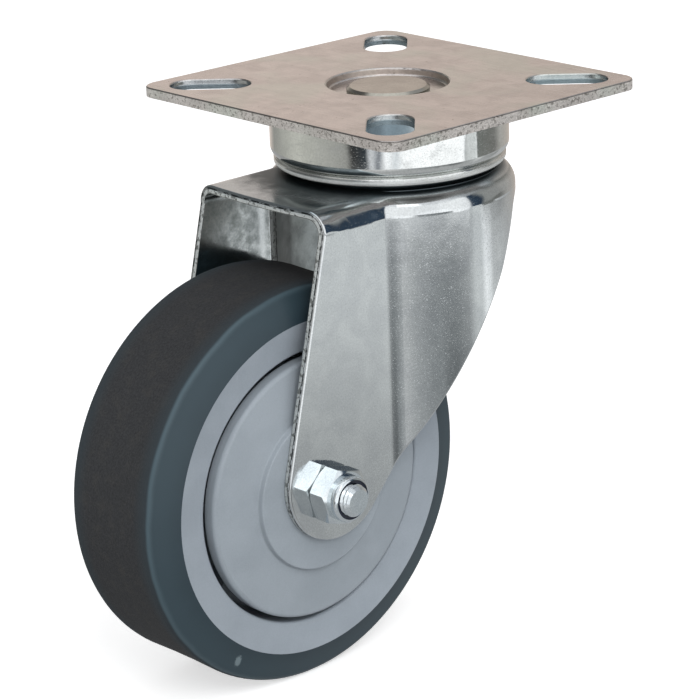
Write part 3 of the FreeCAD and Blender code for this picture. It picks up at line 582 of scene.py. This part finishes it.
def threaded_bolt():
    """The axle bolt with its screw thread: a shank, and a hexagon head outside the left leg."""
    low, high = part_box("axle_bolt")
    head_foot = LEG_FACE
    shank_end = head_foot + 1 * MM

    def shank_radius(y, angle):
        from_end = y - low.y
        turns = from_end / THREAD_PITCH + angle / (2 * math.pi)
        groove = abs(2 * (turns % 1) - 1)
        fade = min(1, max(0, (THREAD_LENGTH - from_end) / THREAD_PITCH))
        radius = BOLT_RADIUS - THREAD_DEPTH * max(0, groove - THREAD_CREST) * fade
        return min(radius, BOLT_RADIUS - END_CHAMFER + from_end)

    def head_radius(y, angle):
        sector = 2 * math.pi / HEAD_FLATS
        off_flat = (angle - HEAD_TURN) % sector - sector / 2
        flat = HEAD_ACROSS_FLATS / 2 / math.cos(off_flat)
        chamfer = HEAD_ACROSS_FLATS / 2 * HEAD_CHAMFER_START + (high.y - y) * HEAD_CHAMFER_SLOPE
        return min(flat, chamfer)

    shank_steps = round((head_foot - low.y) / (THREAD_PITCH / ROWS_PER_TURN))
    shank_rows = rows_between(low.y, shank_end, shank_steps)
    head_rows = rows_between(head_foot, high.y, HEAD_ROWS)
    shank = polar_skin("axle_bolt_shank", shank_rows, shank_radius, SHANK_SEGMENTS)
    head = polar_skin("axle_bolt_head", head_rows, head_radius, HEAD_SEGMENTS)
    for piece in (shank, head):
        piece.data.materials.append(MATERIALS["fastener_zinc"])
        for polygon in piece.data.polygons:
            polygon.use_smooth = True
        piece.data.set_sharp_from_angle(angle=SHARP_ANGLE)
        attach(piece, "fork")
        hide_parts("axle_bolt")


def rows_between(first, last, steps):
    """Evenly spaced places from first to last, both included."""
    return [first + (last - first) * step / steps for step in range(steps + 1)]


# ---------------------------------------------------------------- studio

# What stands round the object, as (compass turn in degrees from +X towards +Y, linear colour), in tiers
# from the table below up to the ceiling. Only the metal's reflections and the soft light come from it.
TABLE = (
    (0, (0.52, 0.53, 0.54)), (90, (0.38, 0.38, 0.38)), (180, (0.40, 0.40, 0.40)),
    (227, (0.74, 0.75, 0.76)), (245, (0.44, 0.46, 0.47)), (262, (0.31, 0.33, 0.34)),
    (285, (0.27, 0.29, 0.30)), (300, (0.40, 0.42, 0.43)), (308, (0.78, 0.81, 0.82)),
    (316, (0.80, 0.83, 0.84)), (321, (1.25, 1.28, 1.30)), (327, (1.10, 1.13, 1.15)),
    (332, (0.74, 0.76, 0.77)), (345, (0.66, 0.68, 0.69)),
)
PANELS = (
    (0, (0.46, 0.45, 0.43)), (34, (0.56, 0.49, 0.44)), (50, (0.76, 0.66, 0.60)),
    (64, (0.70, 0.62, 0.57)), (80, (0.34, 0.34, 0.32)), (130, (0.62, 0.62, 0.57)),
    (160, (0.48, 0.48, 0.45)), (184, (0.38, 0.38, 0.36)), (190, (0.04, 0.04, 0.04)),
    (204, (0.04, 0.05, 0.06)), (209, (0.80, 0.82, 0.86)), (216, (0.20, 0.22, 0.25)),
    (223, (1.30, 1.32, 1.36)), (232, (0.90, 0.95, 1.00)), (239, (1.34, 1.36, 1.39)),
    (302, (1.34, 1.36, 1.39)), (306, (0.05, 0.08, 0.12)), (315, (0.03, 0.05, 0.08)),
    (320, (0.20, 0.21, 0.20)), (345, (0.20, 0.20, 0.19)),
)
UPPER = (
    (0, (0.46, 0.45, 0.43)), (34, (0.56, 0.49, 0.44)), (50, (0.76, 0.66, 0.60)),
    (64, (0.66, 0.59, 0.54)), (76, (0.20, 0.20, 0.19)), (150, (0.17, 0.17, 0.17)),
    (165, (0.42, 0.42, 0.40)), (196, (0.45, 0.45, 0.45)), (206, (1.16, 1.18, 1.20)),
    (302, (1.16, 1.18, 1.20)), (306, (0.05, 0.08, 0.12)), (315, (0.03, 0.05, 0.08)),
    (320, (0.36, 0.37, 0.36)), (345, (0.36, 0.36, 0.35)),
)
CEILING = (
    (0, (0.50, 0.51, 0.53)), (55, (0.45, 0.46, 0.48)), (75, (0.14, 0.14, 0.14)),
    (135, (0.14, 0.14, 0.14)), (150, (0.95, 0.97, 1.00)), (230, (0.95, 0.97, 1.00)),
    (236, (2.10, 2.13, 2.16)), (250, (2.10, 2.13, 2.16)), (256, (0.95, 0.97, 1.00)),
    (290, (0.95, 0.97, 1.00)), (305, (0.50, 0.52, 0.55)),
)
OVERHEAD = (1.20, 1.21, 1.22, 1)
TABLE_FOOT = (0.46, 0.47, 0.48, 1)
WHITE = (1, 1, 1, 1)
FLOOR_RADIUS = 2.5
FLOOR_GLOW = 0.5
# Each tier fades into the one above it between these two elevations, in degrees.
FOOT_EDGE = (-40, -24)
TABLE_EDGE = (-16.2, -15.0)
UPPER_EDGE = (-9, -4)
CEILING_EDGE = (28, 36)
OVERHEAD_EDGE = (55, 66)
# The table dims as it comes nearer: two elevations, and the factor at each. It does so only past the
# compass turns that follow, and fully past the second.
TABLE_DIMMING = (-20.8, -17.3, 0.56, 1.0)
DIMMING_TURNS = (270, 295)
# Round this compass turn, the table's far edge stands higher by these degrees. It comes down again
# between these two distances from it, also in degrees.
RAISED_TURN = 311
RAISED_EDGE = 3.5
RAISED_FADE = (5, 9)
# Light that lands on matt surfaces is dimmed when it comes from far below or from overhead: two
# elevations, and the factor at each.
LOW_LIGHT = (-60, -16, 0.4, 1.0)
HIGH_LIGHT = (45, 60, 1.0, 0.45)


def ring(shade, compass, stops):
    """A colour ramp round the compass, closed where its ends meet."""
    made = shade.node("ShaderNodeValToRGB", {"Fac": compass})
    ramp = made.color_ramp
    first_color = stops[0][1]
    closed = stops + ((360, first_color),)
    for _ in closed[2:]:
        ramp.elements.new(0.5)
    for element, (turn, color) in zip(ramp.elements, closed):
        element.position = turn / 360
        element.color = (*color, 1)
    return made.outputs["Color"]


def studio_world():
    """A white backdrop that the camera sees, and tiers of panels round the object that the metal mirrors."""
    world = bpy.data.worlds.new("studio")
    bpy.context.scene.world = world
    world.use_nodes = True
    shade = Shade(world.node_tree)
    way = axes_of(shade, shade.node("ShaderNodeTexCoord").outputs["Generated"])
    turn = shade.math("ARCTAN2", way["Y"], way["X"])
    compass = shade.math("FRACT", shade.plus(shade.math("DIVIDE", turn, 2 * math.pi), 1))
    rise = shade.times(shade.math("ARCSINE", way["Z"]), 180 / math.pi)

    dimming = shade.spread(rise, *TABLE_DIMMING)
    undimmed = shade.spread(compass, *(turn / 360 for turn in DIMMING_TURNS), 1, 0)
    wall = tint(shade, ring(shade, compass, TABLE), shade.math("MAXIMUM", dimming, undimmed))
    wall = shade.blend(shade.spread(rise, *FOOT_EDGE, 1, 0), wall, TABLE_FOOT)
    off_turn = shade.absolute(shade.minus(compass, RAISED_TURN / 360))
    lift = shade.spread(off_turn, *(turn / 360 for turn in RAISED_FADE), RAISED_EDGE, 0, smooth=True)
    tiers = (
        (shade.minus(rise, lift), TABLE_EDGE, ring(shade, compass, PANELS)),
        (rise, UPPER_EDGE, ring(shade, compass, UPPER)),
        (rise, CEILING_EDGE, ring(shade, compass, CEILING)),
        (rise, OVERHEAD_EDGE, OVERHEAD),
    )
    for height, edge, color in tiers:
        wall = shade.blend(shade.spread(height, *edge, 0, 1, smooth=True), wall, color)

    kind_of_ray = shade.node("ShaderNodeLightPath").outputs
    matt_light = shade.times(shade.spread(rise, *LOW_LIGHT), shade.spread(rise, *HIGH_LIGHT))
    wall = shade.blend(kind_of_ray["Is Diffuse Ray"], wall, tint(shade, wall, matt_light))
    wall = shade.blend(kind_of_ray["Is Camera Ray"], wall, WHITE)
    back = shade.node("ShaderNodeBackground", {"Color": wall, "Strength": 1.0})
    out = shade.node("ShaderNodeOutputWorld")
    shade.tree.links.new(back.outputs[0], out.inputs["Surface"])


def add_floor():
    """A pale floor under the wheel, which takes its shadow and which the metal doesn't mirror."""
    bpy.ops.mesh.primitive_circle_add(vertices=96, radius=FLOOR_RADIUS, fill_type="NGON",
                                      location=(0, 0, TYRE_LOW.z))
    floor = bpy.context.object
    floor.name = "floor"
    made, shade = new_material("floor_white")
    surface(shade, (0.9, 0.9, 0.9, 1), 0.9, Emission_Color=WHITE, Emission_Strength=FLOOR_GLOW)
    floor.data.materials.append(made)
    floor.visible_glossy = False
    floor.visible_diffuse = False


def add_lamp(name, place, aim, side, power):
    """A square soft lamp that the metal doesn't mirror."""
    data = bpy.data.lights.new(name, "AREA")
    data.shape = "SQUARE"
    data.size = side
    data.energy = power
    lamp = bpy.data.objects.new(name, data)
    bpy.context.scene.collection.objects.link(lamp)
    lamp.location = place
    lamp.rotation_euler = (Vector(aim) - Vector(place)).to_track_quat("-Z", "Y").to_euler()
    lamp.visible_glossy = False


def add_camera():
    """The camera at the photo's place and angle."""
    azimuth, fall, roll = (math.radians(a) for a in (CAMERA_AZIMUTH, CAMERA_FALL, CAMERA_ROLL))
    level = Vector((math.cos(azimuth), -math.sin(azimuth), 0))
    forward = Vector((
        math.sin(azimuth) * math.cos(fall),
        math.cos(azimuth) * math.cos(fall),
        -math.sin(fall),
    ))
    rise = level.cross(forward)
    right = math.cos(roll) * level + math.sin(roll) * rise
    up = -math.sin(roll) * level + math.cos(roll) * rise
    data = bpy.data.cameras.new("camera")
    data.lens = CAMERA_LENS
    data.sensor_width = SENSOR_WIDTH
    data.clip_start = 0.01
    camera = bpy.data.objects.new("camera", data)
    bpy.context.scene.collection.objects.link(camera)
    turn = Matrix((right, up, -forward)).transposed()
    camera.matrix_world = Matrix.Translation(CAMERA_PLACE) @ turn.to_4x4()
    bpy.context.scene.camera = camera


finish_nodes()
threaded_bolt()
studio_world()
add_floor()
add_lamp("key", place=(-0.5, -0.9, 0.9), aim=(0, 0, -0.06), side=0.7, power=5)
add_lamp("fill", place=(0.9, -0.5, 0.6), aim=(0, 0, -0.06), side=0.8, power=2)
add_lamp("edge", place=(-1.0, 0.45, 0.15), aim=(0, 0, -0.01), side=0.4, power=4.5)
add_camera()
bpy.context.scene.view_settings.view_transform = "Standard"
